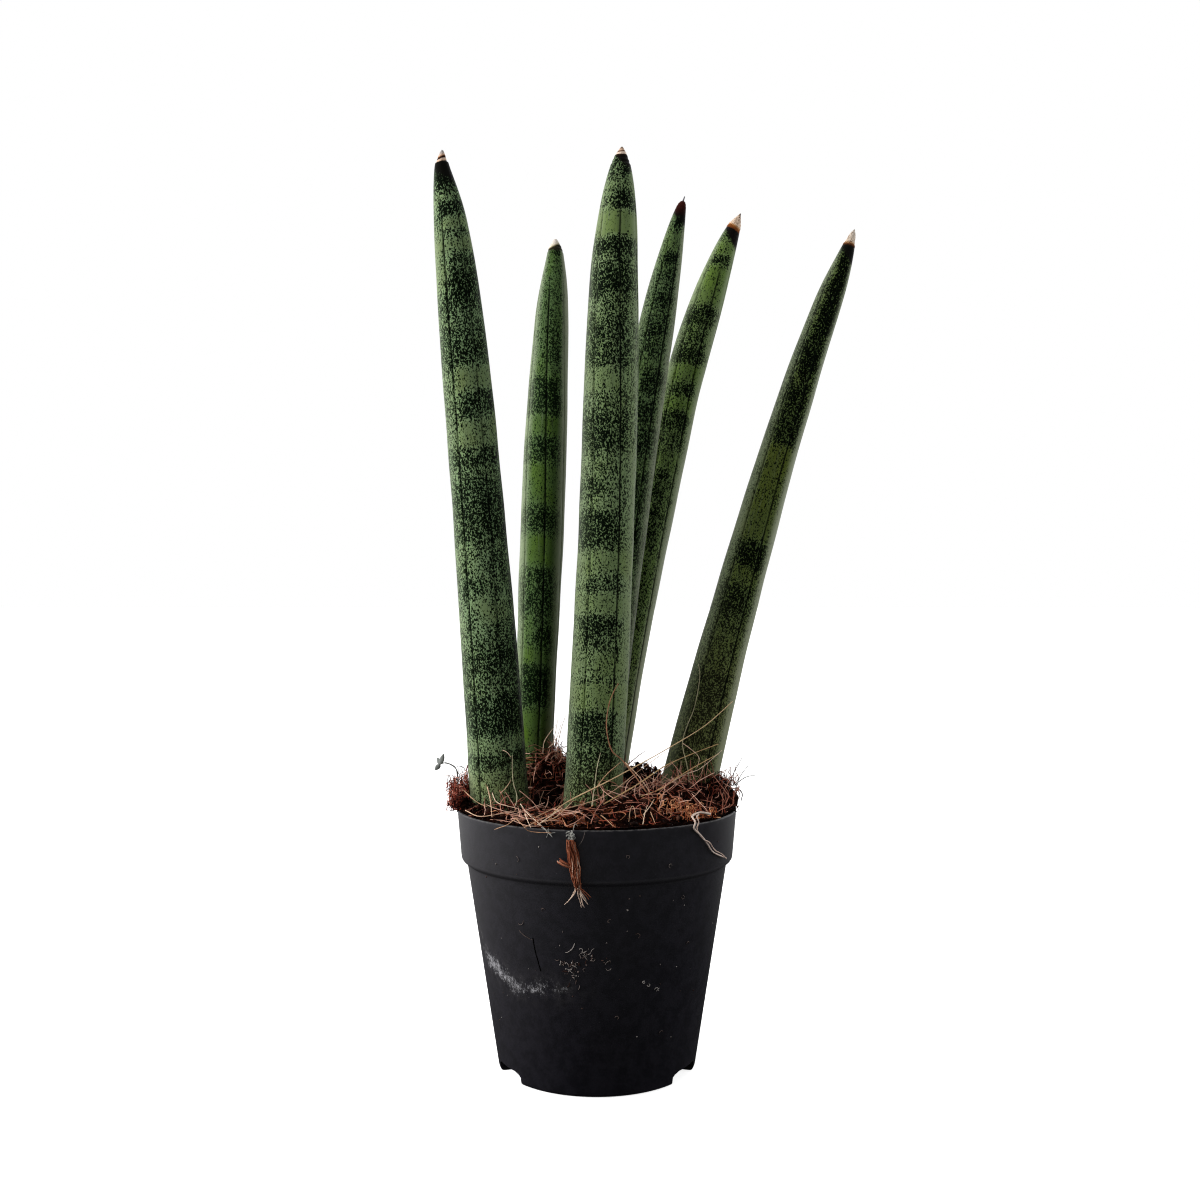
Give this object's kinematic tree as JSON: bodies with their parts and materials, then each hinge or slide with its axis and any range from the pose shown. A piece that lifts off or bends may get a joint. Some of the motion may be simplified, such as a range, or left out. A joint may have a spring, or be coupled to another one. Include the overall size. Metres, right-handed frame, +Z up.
{
  "type": "cylindrical snake plant",
  "caption": "Potted cylindrical snake plant: upright round grooved leaves with dry tips, in a coir-topped tapered black nursery pot.",
  "frame": {"origin": "on the pot's axis, on the flat underside of its floor that it stands on", "axes": "+Z up along the pot's axis, -Y towards the front of the plant, +X to the right"},
  "size_m": [0.188, 0.1346, 0.3892],
  "materials": {
    "pot_plastic": "satin black moulded plastic, scuffed, with a chalky water stain",
    "potting_mix": "moist dark peat and bark crumbs",
    "coir": "matted red-brown coconut fibre",
    "leaf": "firm waxy leaf, grey-green with dark green cross bands and dark grooves",
    "dry_root": "dry pale straw-brown root",
    "husk": "fibrous red-brown husk",
    "seedling": "dull grey-green young leaf"
  },
  "bodies": {
    "root": {"pot": "pot_plastic", "potting_mix": "potting_mix", "coir_mat": "coir", "leaf_left": "leaf", "leaf_back_left": "leaf", "leaf_centre": "leaf", "leaf_back_centre": "leaf", "leaf_back_right": "leaf", "leaf_right": "leaf", "root_long": "dry_root", "root_crossing": "dry_root", "root_low": "dry_root", "root_on_right_leaf": "dry_root", "root_on_centre_leaf": "dry_root", "root_short": "dry_root", "root_on_left_leaf": "dry_root", "rim_root": "dry_root", "husk_scrap": "husk", "seedling": "seedling"}
  },
  "joints": []
}
